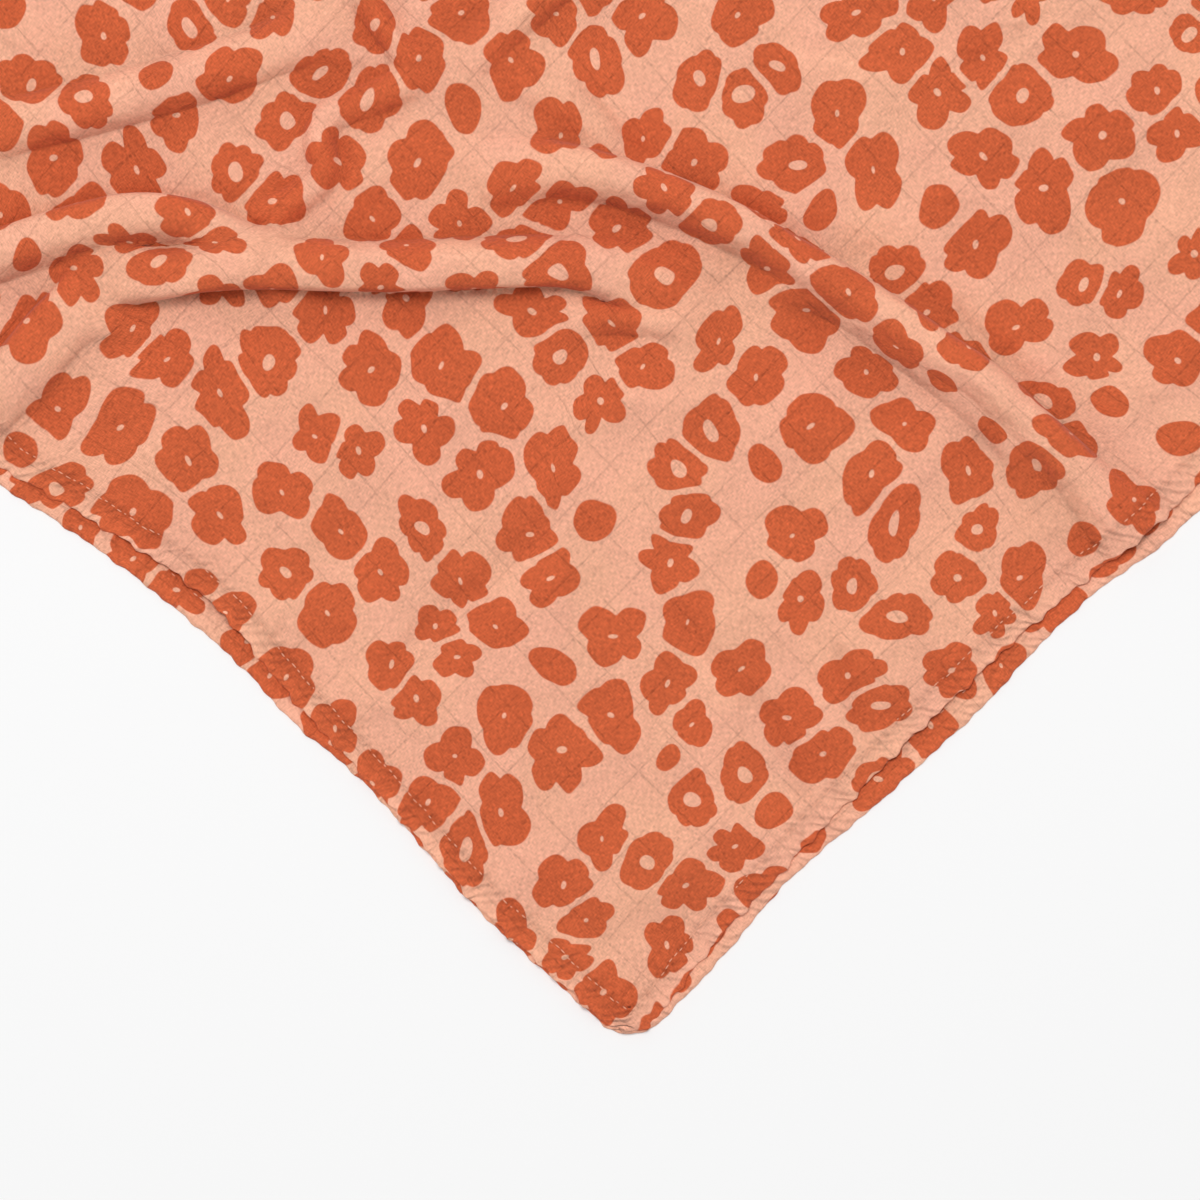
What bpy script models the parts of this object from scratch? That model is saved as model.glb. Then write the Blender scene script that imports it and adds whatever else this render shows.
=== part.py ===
# Swaddle blanket: one hemmed square of muslin, folded once into two layers and laid on a flat surface.
# Metres, +Z up. X runs along the folded blanket and Y across it: the two layers join in a fold at +Y,
# and their free hems lie at -Y. The origin is on the resting surface, under the middle of the blanket.

import math
from collections import namedtuple

import bpy
import numpy as np
from mathutils import Vector
from mathutils.geometry import delaunay_2d_cdt

MM = 0.001

# The sheet
LENGTH = 1.200  # along X
DEPTH = 0.600  # along Y, half of the square cloth
THICKNESS = 0.0012  # double gauze with its loft
LAYER_GAP = 0.0010  # between the two layers where they lie flat
BEND_RADIUS = 0.0020  # of the back fold, at mid-cloth
BEND_EASE = 0.040  # how far in from the back fold the upper layer settles to its height
CORNER_RADIUS = 0.016  # of the free corners
CLOTH_COLOUR = (0.855, 0.423, 0.283, 1.0)  # peach

# The straight lines that the uneven hems wander about, in from the outermost reach of each side
MEAN_INSET = {"left": 0.020, "right": 0.010, "front": 0.010}
EDGE_REACH = 0.160  # how far an edge's unevenness is felt in the cloth
EDGE_SMOOTHING = 0.010  # half width of the rounding where two stretches of an edge meet
MEETING_POWER = 4  # of the mean that joins folds where they meet: the higher, the less they add up

# Mesh sizes
OPEN_STEP = 0.034  # between points of the upper layer away from its folds
UNDER_STEP = 0.080  # between points of the flat under layer
RIM_STEP = 0.015  # along the free edges
FOLD_STEP = 0.0105  # along a fold
FOLD_LINES = (-1.0, -0.62, -0.30, 0.0, 0.30, 0.62, 1.0)  # across a fold, in half widths
BEND_STEPS = 6
EASE_LINES = (0.25, 0.5, 0.8)  # where the upper layer settles from the back fold, as shares of the ease
CLEAR_STEP = 0.0055  # no two points lie closer than this
PLACING_ROUNDS = 8  # to find the point of the straight sheet that comes to lie at a place

# Free edges, in millimetres: how far each layer's edge lies in from the outermost reach of that side
Edge = namedtuple("Edge", "along under upper")
LEFT_EDGE = [
    Edge(0, 20.0, 21.0),
    Edge(30, 19.0, 20.0),
    Edge(60, 17.5, 18.5),
    Edge(92, 16.0, 17.0),
    Edge(125, 18.5, 19.5),
    Edge(150, 20.0, 21.0),
    Edge(170, 20.0, 22.5),
    Edge(195, 16.5, 23.0),
    Edge(222, 18.5, 25.5),
    Edge(245, 17.5, 28.5),
    Edge(275, 14.5, 26.0),
    Edge(300, 11.0, 19.5),
    Edge(325, 6.0, 14.0),
    Edge(350, 0.0, 6.0),
    Edge(420, 0.0, 9.0),
    Edge(500, 8.0, 15.0),
    Edge(600, 14.0, 14.0),
]
RIGHT_EDGE = [
    Edge(0, 10.0, 14.0),
    Edge(110, 6.0, 12.0),
    Edge(220, 0.0, 8.0),
    Edge(330, 0.0, 7.0),
    Edge(450, 9.0, 16.0),
    Edge(600, 12.0, 12.0),
]
FRONT_EDGE = [
    Edge(0, 8.0, 9.0),
    Edge(30, 7.5, 8.5),
    Edge(60, 7.5, 13.0),
    Edge(85, 9.0, 15.5),
    Edge(105, 11.5, 15.0),
    Edge(130, 10.5, 16.5),
    Edge(160, 7.5, 16.5),
    Edge(190, 6.5, 17.0),
    Edge(215, 5.0, 16.0),
    Edge(250, 7.0, 15.0),
    Edge(285, 6.0, 12.0),
    Edge(310, 0.0, 8.0),
    Edge(345, 0.0, 7.0),
    Edge(420, 4.0, 13.0),
    Edge(520, 8.0, 16.0),
    Edge(640, 5.0, 12.0),
    Edge(760, 9.0, 18.0),
    Edge(900, 6.0, 11.0),
    Edge(1040, 10.0, 17.0),
    Edge(1200, 9.0, 12.0),
]
BACK_FOLD = [
    Edge(0, 8.0, 8.0),
    Edge(120, 3.0, 3.0),
    Edge(260, 0.0, 0.0),
    Edge(420, 0.0, 0.0),
    Edge(560, 5.0, 5.0),
    Edge(700, 8.0, 8.0),
    Edge(860, 3.0, 3.0),
    Edge(1000, 6.0, 6.0),
    Edge(1200, 10.0, 10.0),
]

# Folds of the upper layer, in millimetres from the front left corner of the outermost reach: half width,
# height, the lengths over which each end dies away, how far the crest leans over its own left side
# (as a share of the height; a minus leans right), and the points that the crest passes over.
Fold = namedtuple("Fold", "name width height start_fade end_fade lean crest")
FOLDS = [
    Fold("main arc", 13, 13.0, 60, 10, 0.3, [(205, 312), (247, 276), (285, 193), (303, 118), (310, -40)]),
    Fold("main arc's shoulder", 12, 8.0, 50, 20, -0.2, [(262, 200), (286, 150), (290, 92), (280, -30)]),
    Fold("long roll", 10, 12.5, 30, 60, -0.6, [(79, 389), (129, 343), (175, 295), (229, 243), (248, 198)]),
    Fold("long roll's echo", 9, 4.0, 30, 30, 0.0, [(200, 242), (228, 213), (250, 184)]),
    Fold("corner roll", 13, 12.0, 10, 40, 0.3, [(-20, 450), (45, 420), (82, 403), (118, 379), (140, 352)]),
    Fold("hem roll", 12, 10.0, 25, 10, 0.3, [(100, 370), (66, 375), (32, 373), (-40, 376)]),
    Fold("upper roll", 13, 9.5, 50, 30, 0.3, [(60, 474), (134, 427), (189, 398), (238, 379)]),
    Fold("link", 9, 5.5, 25, 25, 0.0, [(248, 348), (209, 354), (186, 345), (160, 347), (128, 354)]),
    Fold("short pleat", 8, 4.5, 20, 15, 0.0, [(252, 402), (239, 367), (237, 338)]),
    Fold("top pleat", 11, 6.5, 30, 50, 0.0, [(232, 336), (264, 333), (330, 334), (440, 376), (690, 476)]),
    Fold("back sweep", 15, 10.0, 120, 60, 0.3, [(530, 452), (640, 476), (760, 520), (850, 560)]),
    Fold("middle sweep", 14, 12.0, 40, 10, 0.3, [(838, 556), (768, 410), (720, 230), (726, -40)]),
    Fold("middle echo", 13, 6.0, 90, 90, 0.0, [(700, 400), (640, 290), (560, 200), (470, 140)]),
    Fold("front wave", 16, 7.0, 10, 120, 0.0, [(505, -40), (512, 60), (540, 150), (600, 250)]),
    Fold("end sweep", 14, 11.5, 40, 10, -0.3, [(872, 556), (930, 430), (1020, 312), (1240, 226)]),
    Fold("end echo", 12, 5.5, 70, 10, 0.0, [(930, 300), (985, 190), (1010, 70), (1006, -40)]),
    Fold("back corner wave", 15, 8.0, 90, 10, 0.3, [(930, 520), (1020, 470), (1120, 452), (1240, 456)]),
]

UNDER_HEIGHT = THICKNESS / 2  # of mid-cloth, so that the under layer's face rests at zero
UPPER_HEIGHT = UNDER_HEIGHT + THICKNESS + LAYER_GAP
BEND_HALF = math.pi * BEND_RADIUS / 2  # half of the cloth that goes round the back fold
BEND_START = DEPTH - THICKNESS / 2 - BEND_RADIUS


def clear_scene():
    for thing in list(bpy.data.objects):
        bpy.data.objects.remove(thing, do_unlink=True)


def smooth_step(t):
    t = np.clip(t, 0.0, 1.0)
    return t * t * (3.0 - 2.0 * t)


def edge_inset(table, column, along):
    """How far an edge lies in at each place along it, its corners rounded by a mean over five places."""
    stations = [row.along * MM for row in table]
    insets = [getattr(row, column) * MM for row in table]
    places = [along + share * EDGE_SMOOTHING for share in (-1.0, -0.5, 0.0, 0.5, 1.0)]
    return np.mean([np.interp(place, stations, insets) for place in places], axis=0)


def near_edge(distance):
    """1 on an edge, dying away to 0 where its unevenness is no longer felt."""
    return np.clip(1.0 - distance / EDGE_REACH, 0.0, 1.0) ** 2


def round_corner(from_side, from_front):
    """Distances from two edges, moved so that their square corner becomes a quarter circle."""
    a = np.clip(1.0 - from_side / CORNER_RADIUS, 0.0, 1.0)
    b = np.clip(1.0 - from_front / CORNER_RADIUS, 0.0, 1.0)
    in_corner = (a > 0.0) & (b > 0.0)
    side = CORNER_RADIUS * (1.0 - a * np.sqrt(1.0 - b * b / 2.0))
    front = CORNER_RADIUS * (1.0 - b * np.sqrt(1.0 - a * a / 2.0))
    return np.where(in_corner, side, from_side), np.where(in_corner, front, from_front)


def laid_out(u, v, layer):
    """Where a point of the straight sheet lies, seen from above, once its edges are uneven."""
    left, right = u - MEAN_INSET["left"], LENGTH - MEAN_INSET["right"] - u
    front = v - MEAN_INSET["front"]
    back = BEND_START - v
    left_round, front_left = round_corner(left, front)
    right_round, front_right = round_corner(right, front)
    x = u + (left_round - left) - (right_round - right)
    y = v + (front_left - front) + (front_right - front)
    x = x + (edge_inset(LEFT_EDGE, layer, v) - MEAN_INSET["left"]) * near_edge(left)
    x = x - (edge_inset(RIGHT_EDGE, layer, v) - MEAN_INSET["right"]) * near_edge(right)
    y = y + (edge_inset(FRONT_EDGE, layer, u) - MEAN_INSET["front"]) * near_edge(front)
    y = y - edge_inset(BACK_FOLD, layer, u) * near_edge(back)
    return x, y


def on_straight_sheet(x, y, layer):
    """The other way round: the point of the straight sheet that comes to lie at a place."""
    u, v = x.copy(), y.copy()
    for _ in range(PLACING_ROUNDS):
        laid_x, laid_y = laid_out(u, v, layer)
        u, v = u + x - laid_x, v + y - laid_y
    return u, v


def smooth_path(points, step):
    """A smooth curve through a few points, as points about a step apart."""
    knots = np.array(points, float) * MM
    knots = np.vstack([2 * knots[0] - knots[1], knots, 2 * knots[-1] - knots[-2]])
    found = []
    for a, b, c, d in zip(knots, knots[1:], knots[2:], knots[3:]):
        count = max(2, round(math.dist(b, c) / step))
        for t in np.arange(count) / count:
            curve = 2 * b + (c - a) * t + (2 * a - 5 * b + 4 * c - d) * t**2 + (3 * b - a - 3 * c + d) * t**3
            found.append(curve / 2)
    found.append(knots[-2])
    return np.array(found)


def across_path(path, x, y):
    """For places: the distance to the left of a path, how far along it that is, and the way to its left."""
    places = np.stack([x, y], axis=-1)[:, None, :]
    starts, runs = path[:-1], np.diff(path, axis=0)
    lengths = np.linalg.norm(runs, axis=1)
    passed = np.concatenate([[0.0], np.cumsum(lengths)[:-1]])
    share = np.clip(((places - starts) * runs).sum(-1) / lengths**2, 0.0, 1.0)
    away = places - (starts + share[..., None] * runs)
    distance = np.linalg.norm(away, axis=-1)
    best = distance.argmin(axis=1)
    rows = np.arange(len(best))
    left = np.stack([-runs[:, 1], runs[:, 0]], axis=-1) / lengths[:, None]
    side = np.sign((away[rows, best] * left[best]).sum(-1))
    return distance[rows, best] * side, (passed + share * lengths)[rows, best], left[best]


def fold_shape(fold, x, y):
    """The height that one fold lifts each place to, and the way in which it leans there."""
    path = smooth_path(fold.crest, FOLD_STEP / 2)
    distance, along, left = across_path(path, x, y)
    whole = np.linalg.norm(np.diff(path, axis=0), axis=1).sum()
    ends = smooth_step(along / (fold.start_fade * MM)) * smooth_step((whole - along) / (fold.end_fade * MM))
    across = np.clip(np.abs(distance) / (fold.width * MM), 0.0, 1.0)
    height = fold.height * MM * ends * (1.0 - across**2) ** 2
    return height, left * (fold.lean * height)[:, None]


def upper_layer(u, v):
    """The upper layer's places: laid out, settled from the back fold, and lifted by its folds."""
    x, y = laid_out(u, v, "upper")
    shapes = [fold_shape(fold, x, y) for fold in FOLDS]
    lift = sum(height**MEETING_POWER for height, _ in shapes) ** (1 / MEETING_POWER)
    lean = sum(lean for _, lean in shapes)
    bend_top = UNDER_HEIGHT + 2 * BEND_RADIUS
    settled = smooth_step((BEND_START - v) / BEND_EASE)
    z = UPPER_HEIGHT + (bend_top - UPPER_HEIGHT) * (1.0 - settled) + lift * settled
    return np.stack([x + lean[:, 0] * settled, y + lean[:, 1] * settled, z], axis=-1)


def bend(u, turned):
    """The cloth that goes round the back fold, by the arc from its middle: minus is above."""
    x, y = laid_out(u, np.full_like(u, BEND_START), "upper")
    angle = turned / BEND_RADIUS
    z = UNDER_HEIGHT + BEND_RADIUS * (1 - np.sin(angle))
    return np.stack([x, y + BEND_RADIUS * np.cos(angle), z], axis=-1)


def under_layer(u, v):
    x, y = laid_out(u, v, "under")
    return np.stack([x, y, np.full_like(x, UNDER_HEIGHT)], axis=-1)


def folded_sheet(u, w):
    """Places of the whole sheet. w runs across it: upper free hem, back fold (w = 0), lower free hem."""
    v = BEND_START - (np.abs(w) - BEND_HALF)
    placed = np.where((w < 0)[:, None], upper_layer(u, v), under_layer(u, v))
    round_bend = np.abs(w) < BEND_HALF
    placed[round_bend] = bend(u[round_bend], w[round_bend])
    return placed - [LENGTH / 2, DEPTH / 2, 0.0]


def steps_between(low, high, step):
    return np.linspace(low, high, max(2, round((high - low) / step) + 1))


def grid(us, ws):
    return np.array([(u, w) for w in ws for u in us])


def sheet_points():
    """The points of the straight sheet that make the mesh: its rim first, then folds, then open cloth."""
    low, high = MEAN_INSET["left"], LENGTH - MEAN_INSET["right"]
    reach = BEND_HALF + BEND_START - MEAN_INSET["front"]
    rim_us = steps_between(low, high, RIM_STEP)
    rim_ws = steps_between(BEND_HALF, reach, RIM_STEP)
    bend_ws = np.linspace(-BEND_HALF, BEND_HALF, BEND_STEPS + 1)
    side_ws = np.concatenate([-rim_ws[::-1], bend_ws[1:-1], rim_ws])
    rim = [(u, -reach) for u in rim_us[:-1]] + [(high, w) for w in side_ws[:-1]]
    rim += [(u, reach) for u in rim_us[:0:-1]] + [(low, w) for w in side_ws[:0:-1]]

    bend_us = steps_between(low, high, OPEN_STEP)[1:-1]
    ease_ws = -BEND_HALF - BEND_EASE * np.array(EASE_LINES)
    groups = [grid(bend_us, bend_ws), grid(bend_us, ease_ws), fold_points(low, high, reach)]
    open_us = steps_between(low, high, OPEN_STEP)[1:-1]
    open_ws = -steps_between(BEND_HALF + BEND_EASE, reach, OPEN_STEP)[1:-1]
    groups.append(away_from_folds(grid(open_us, open_ws)))
    under_us = steps_between(low, high, UNDER_STEP)[1:-1]
    under_ws = steps_between(BEND_HALF, reach, UNDER_STEP)[1:-1]
    groups.append(grid(under_us, under_ws))

    points = [tuple(point) for point in rim]
    for group in groups[:2]:
        points += [tuple(point) for point in group]
    for group in groups[2:]:
        for point in group:
            gaps = np.hypot(*(np.array(points) - point).T)
            if gaps.min() > CLEAR_STEP:
                points.append(tuple(point))
    return points, len(rim)


def fold_points(low, high, reach):
    """Lines of points that follow each fold, from its crest to its feet."""
    found = []
    for fold in FOLDS:
        path = smooth_path(fold.crest, FOLD_STEP)
        runs = np.gradient(path, axis=0)
        left = np.stack([-runs[:, 1], runs[:, 0]], axis=-1) / np.linalg.norm(runs, axis=1)[:, None]
        for line in FOLD_LINES:
            side = path + left * line * fold.width * MM
            u, v = on_straight_sheet(side[:, 0], side[:, 1], "upper")
            found.append(np.stack([u, v - BEND_START - BEND_HALF], axis=-1))
    found = np.vstack(found)
    edge = CLEAR_STEP
    inside = (found[:, 0] > low + edge) & (found[:, 0] < high - edge)
    return found[inside & (found[:, 1] > -reach + edge) & (found[:, 1] < -BEND_HALF - BEND_EASE)]


def away_from_folds(points):
    """Drops the points that lie on a fold, where the fold's own points serve."""
    x, y = laid_out(points[:, 0], points[:, 1] + BEND_HALF + BEND_START, "upper")
    keep = np.ones(len(points), bool)
    for fold in FOLDS:
        distance = np.abs(across_path(smooth_path(fold.crest, FOLD_STEP), x, y)[0])
        keep &= distance > fold.width * MM + CLEAR_STEP
    return points[keep]


def cloth_material():
    material = bpy.data.materials.new("peach muslin")
    material.use_nodes = True
    shader = material.node_tree.nodes["Principled BSDF"]
    shader.inputs["Base Color"].default_value = CLOTH_COLOUR
    shader.inputs["Roughness"].default_value = 0.9
    shader.inputs["Metallic"].default_value = 0.0
    return material


def build_blanket():
    points, rim_count = sheet_points()
    rim = [(i, (i + 1) % rim_count) for i in range(rim_count)]
    flat, _, faces, *_ = delaunay_2d_cdt([Vector(point) for point in points], rim, [], 1, 1e-7)
    flat = np.array([tuple(point) for point in flat])
    placed = folded_sheet(flat[:, 0], flat[:, 1])

    mesh = bpy.data.meshes.new("blanket")
    mesh.from_pydata([tuple(place) for place in placed], [], [tuple(face) for face in faces])
    mesh.materials.append(cloth_material())
    blanket = bpy.data.objects.new("blanket", mesh)
    bpy.context.scene.collection.objects.link(blanket)
    wall = blanket.modifiers.new("cloth thickness", "SOLIDIFY")
    wall.thickness = THICKNESS
    wall.offset = 0.0
    wall.use_rim = True
    mesh.shade_smooth()
    return blanket


clear_scene()
build_blanket()
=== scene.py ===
# A muslin swaddle blanket, folded once and laid on a pale surface, seen from straight above.
# Blender's own units are metres. The blanket's tables are in millimetres, from the front left corner
# of its reach: "along" runs with a hem, and folds are placed by (x, y) over the blanket.

import math
from collections import namedtuple

import bpy
import numpy as np
from mathutils import Matrix, Vector, kdtree
from mathutils.geometry import delaunay_2d_cdt


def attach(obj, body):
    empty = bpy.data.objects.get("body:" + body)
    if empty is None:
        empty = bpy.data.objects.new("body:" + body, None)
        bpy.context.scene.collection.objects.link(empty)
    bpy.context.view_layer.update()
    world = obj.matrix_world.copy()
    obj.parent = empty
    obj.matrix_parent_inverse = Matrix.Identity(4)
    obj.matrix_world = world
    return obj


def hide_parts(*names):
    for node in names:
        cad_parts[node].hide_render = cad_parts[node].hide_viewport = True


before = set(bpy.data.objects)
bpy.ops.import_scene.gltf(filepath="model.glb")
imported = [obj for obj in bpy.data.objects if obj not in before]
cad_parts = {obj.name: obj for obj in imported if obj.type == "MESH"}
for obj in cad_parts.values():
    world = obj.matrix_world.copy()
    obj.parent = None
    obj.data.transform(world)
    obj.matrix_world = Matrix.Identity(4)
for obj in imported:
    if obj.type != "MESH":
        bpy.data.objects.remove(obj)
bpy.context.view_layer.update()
mm = 0.001
print("frame loaded")


# Camera and what it sees

view = {
    "middle": (-0.4615, -0.1562),  # the place on the floor under the middle of the picture
    "turn": -45.0,  # degrees, so that the blanket's corner points down the picture
    "across": 0.480,  # of the floor, from side to side of the picture
    "height": 1.50,  # of the camera above the floor
    "sensor": 36.0,  # its width, in millimetres
}


def makeCamera():
    data = bpy.data.cameras.new("camera")
    data.sensor_width = view["sensor"]
    data.lens = view["sensor"] * view["height"] / view["across"]
    camera = bpy.data.objects.new("camera", data)
    camera.location = (*view["middle"], view["height"])
    camera.rotation_euler = (0.0, 0.0, math.radians(view["turn"]))
    bpy.context.scene.collection.objects.link(camera)
    bpy.context.scene.camera = camera


def inView(x, y):
    # whether places over the blanket show in the picture, or lie just outside it
    turn = math.radians(view["turn"])
    fromX = x - blanket["length"] / 2 - view["middle"][0]
    fromY = y - blanket["depth"] / 2 - view["middle"][1]
    across = fromX * math.cos(turn) + fromY * math.sin(turn)
    up = fromY * math.cos(turn) - fromX * math.sin(turn)
    return np.maximum(np.abs(across), np.abs(up)) < view["across"] / 2 + meshSteps["shownMargin"]


# Lights and floor

studio = {
    "skyStrength": 0.55,
    "skyColour": (1.0, 1.0, 1.0, 1.0),
    "keyPower": 83.0,
    "keySize": 1.70,
    "keyFrom": (-0.30, 1.50, 3.60),  # across the picture, up it, and above the floor
    "floorColour": (0.93, 0.93, 0.93, 1.0),
    "floorRoughness": 0.9,
    "floorGloss": 0.1,
    "floorSize": 60.0,  # so wide that its end stays out of a low view
    "floorDrop": 0.0002,  # keeps the floor just clear of the cloth
}


def makeStudio():
    scene = bpy.context.scene
    scene.view_settings.view_transform = "Standard"
    scene.view_settings.look = "None"
    world = bpy.data.worlds.new("soft light")
    scene.world = world
    world.use_nodes = True
    sky = world.node_tree.nodes["Background"]
    sky.inputs["Color"].default_value = studio["skyColour"]
    sky.inputs["Strength"].default_value = studio["skyStrength"]

    data = bpy.data.lights.new("key", "AREA")
    data.shape = "DISK"
    data.size = studio["keySize"]
    data.energy = studio["keyPower"]
    key = bpy.data.objects.new("key", data)
    turn = Matrix.Rotation(math.radians(view["turn"]), 3, "Z")
    middle = Vector((*view["middle"], 0.0))
    key.location = middle + turn @ Vector(studio["keyFrom"])
    key.rotation_euler = (middle - key.location).to_track_quat("-Z", "Y").to_euler()
    scene.collection.objects.link(key)

    half, low = studio["floorSize"] / 2, -studio["floorDrop"]
    corners = [(-half, -half, low), (half, -half, low), (half, half, low), (-half, half, low)]
    mesh = bpy.data.meshes.new("floor")
    mesh.from_pydata(corners, [], [(0, 1, 2, 3)])
    floor = bpy.data.objects.new("floor", mesh)
    scene.collection.objects.link(floor)
    finish = Finish("pale floor")
    finish.dress({
        "Base Color": studio["floorColour"],
        "Roughness": studio["floorRoughness"],
        "Specular IOR Level": studio["floorGloss"],
    })
    mesh.materials.append(finish.material)


# Materials written as expressions


class Wire:
    # a shader socket that Python's operators work on
    def __init__(self, finish, socket):
        self.finish = finish
        self.socket = socket

    def maths(self, operation, *others):
        return self.finish.maths(operation, self, *others)

    def vector(self, operation, *others):
        inputs = dict(enumerate([self, *others]))
        return self.finish.node("ShaderNodeVectorMath", {"operation": operation}, inputs, "Vector")

    def scaled(self, by):
        inputs = {0: self, "Scale": by}
        return self.finish.node("ShaderNodeVectorMath", {"operation": "SCALE"}, inputs, "Vector")

    def other(self, output):
        # another output of the same node
        return Wire(self.finish, self.socket.node.outputs[output])

    def parts(self):
        # the three parts of a vector
        split = self.finish.node("ShaderNodeSeparateXYZ", {}, {0: self}, "X")
        return split, split.other("Y"), split.other("Z")

    def __add__(self, value):
        return self.maths("ADD", value)

    def __radd__(self, value):
        return self.maths("ADD", value)

    def __sub__(self, value):
        return self.maths("SUBTRACT", value)

    def __rsub__(self, value):
        return self.finish.maths("SUBTRACT", value, self)

    def __mul__(self, value):
        return self.maths("MULTIPLY", value)

    def __rmul__(self, value):
        return self.maths("MULTIPLY", value)


class Finish:
    # a material, and the one way in which its nodes are made
    def __init__(self, name):
        self.material = bpy.data.materials.new(name)
        self.material.use_nodes = True
        self.nodes = self.material.node_tree.nodes
        self.links = self.material.node_tree.links
        self.shader = self.nodes["Principled BSDF"]

    def feed(self, socket, value):
        # gives a socket a wire or a plain value
        if isinstance(value, Wire):
            self.links.new(value.socket, socket)
        else:
            socket.default_value = value

    def dress(self, inputs):
        # feeds the surface shader's own inputs by name
        for name, value in inputs.items():
            self.feed(self.shader.inputs[name], value)

    def node(self, kind, settings, inputs, output=0):
        # makes a node and hands back one of its outputs
        made = self.nodes.new(kind)
        for name, value in settings.items():
            setattr(made, name, value)
        for name, value in inputs.items():
            self.feed(made.inputs[name], value)
        return Wire(self, made.outputs[output])

    def maths(self, operation, *values):
        return self.node("ShaderNodeMath", {"operation": operation}, dict(enumerate(values)))

    def noise(self, where, scale, detail=2.0, output="Fac"):
        inputs = {"Vector": where, "Scale": scale, "Detail": detail}
        return self.node("ShaderNodeTexNoise", {"noise_dimensions": "2D"}, inputs, output)

    def mix(self, share, first, second):
        # of two colours, by the numbers that the node's colour sockets have
        inputs = {0: share, 6: first, 7: second}
        return self.node("ShaderNodeMix", {"data_type": "RGBA", "clamp_factor": True}, inputs, 2)

    def ease(self, value, low, high):
        # 0 below low, 1 above high, and soft between
        settings = {"interpolation_type": "SMOOTHSTEP"}
        inputs = {"Value": value, "From Min": low, "From Max": high}
        return self.node("ShaderNodeMapRange", settings, inputs)


# The sheet: how it is cut, folded and laid

blanket = {
    "length": 1.200,  # along X
    "depth": 0.600,  # along Y, half of the square
    "thickness": 0.0009,  # two plies of gauze
    "hemWidth": 0.0096,
    "hemThickness": 0.0018,
    "hemPast": 0.0005,  # how far past its line of stitches the hem's extra thickness ends
    "hemFade": 0.0012,  # and the length over which it runs out there
    "edgeRounding": 0.0018,  # how far in its edge is rounded, and the share of its thickness left there
    "edgeShare": 0.14,
    "upperHeight": 0.0029,  # of the upper layer's middle surface, where nothing lifts it
    "hemRise": 0.0006,  # more at the hems, where four plies lie on four
    "hemDroop": 0.0013,  # and less again at the very edge, which sinks onto the layer below
    "bendRadius": 0.0020,  # of the back fold
    "bendEase": 0.040,  # how far in from it the upper layer settles
    "backInset": 0.0006,  # from the middle of the cloth at the back fold to the back of the reach
    "cornerRadius": 0.016,  # of the sheet's own corners
    "inset": {"left": 0.020, "right": 0.010, "front": 0.010},  # of the straight lines the hems wander about
    "edgeReach": 0.160,  # how far an edge's unevenness is felt
    "edgeSmoothing": 0.010,  # the length on either side over which its course is evened out
    "meetingPower": 4,  # of the sum that joins folds where they meet
    "footSoftness": 1.10,  # how gently a fold's side runs out at its foot
    "endSpread": 0.9,  # how much wider a fold is where it has died away
    "rollShare": 0.5,  # the share of a fold's side, from its crest, past which it leans in full
    "unevenness": 0.14,  # of a fold's height along it, and the lengths of its waves in mm
    "unevenLengths": (37, 61, 113),
    "pathStep": 0.006,  # between the places on a crest's line, and the points that measure a section
    "sectionPoints": 21,
    "spareReach": 0.130,  # how far from a fold the cloth that it takes up is felt in the print
    "turnSoftness": 0.008,  # how gently the way in which it is felt turns beside a bent fold
    "printSpan": 1.32,  # metres of cloth across the whole UV square
    "printMargin": 0.06,  # of it, left free at the square's side
}

Edge = namedtuple("Edge", "along under upper")  # how far in each layer's edge lies from the side's reach
leftEdge = [
    Edge(0, 20.0, 21.0),
    Edge(30, 19.0, 20.0),
    Edge(60, 17.5, 18.5),
    Edge(92, 16.0, 17.0),
    Edge(125, 18.5, 19.5),
    Edge(150, 20.0, 21.0),
    Edge(170, 20.0, 22.5),
    Edge(195, 16.5, 23.0),
    Edge(222, 18.5, 25.5),
    Edge(245, 17.5, 28.5),
    Edge(275, 14.5, 26.0),
    Edge(300, 11.0, 19.5),
    Edge(325, 6.0, 14.0),
    Edge(350, 0.0, 6.0),
    Edge(420, 0.0, 9.0),
    Edge(500, 8.0, 15.0),
    Edge(600, 14.0, 14.0),
]
rightEdge = [
    Edge(0, 10.0, 14.0),
    Edge(110, 6.0, 12.0),
    Edge(220, 0.0, 8.0),
    Edge(330, 0.0, 7.0),
    Edge(450, 9.0, 16.0),
    Edge(600, 12.0, 12.0),
]
frontEdge = [
    Edge(0, 8.0, 9.0),
    Edge(30, 7.5, 8.5),
    Edge(60, 7.5, 13.0),
    Edge(85, 9.0, 15.5),
    Edge(105, 11.5, 15.0),
    Edge(130, 10.5, 16.5),
    Edge(160, 7.5, 16.5),
    Edge(190, 6.5, 17.0),
    Edge(215, 5.0, 16.0),
    Edge(250, 7.0, 15.0),
    Edge(285, 6.0, 12.0),
    Edge(310, 0.0, 8.0),
    Edge(345, 0.0, 7.0),
    Edge(420, 4.0, 13.0),
    Edge(520, 8.0, 16.0),
    Edge(640, 5.0, 12.0),
    Edge(760, 9.0, 18.0),
    Edge(900, 6.0, 11.0),
    Edge(1040, 10.0, 17.0),
    Edge(1200, 9.0, 12.0),
]
backFold = [
    Edge(0, 8.0, 8.0),
    Edge(120, 3.0, 3.0),
    Edge(260, 0.0, 0.0),
    Edge(420, 0.0, 0.0),
    Edge(560, 5.0, 5.0),
    Edge(700, 8.0, 8.0),
    Edge(860, 3.0, 3.0),
    Edge(1000, 6.0, 6.0),
    Edge(1200, 10.0, 10.0),
]

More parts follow.
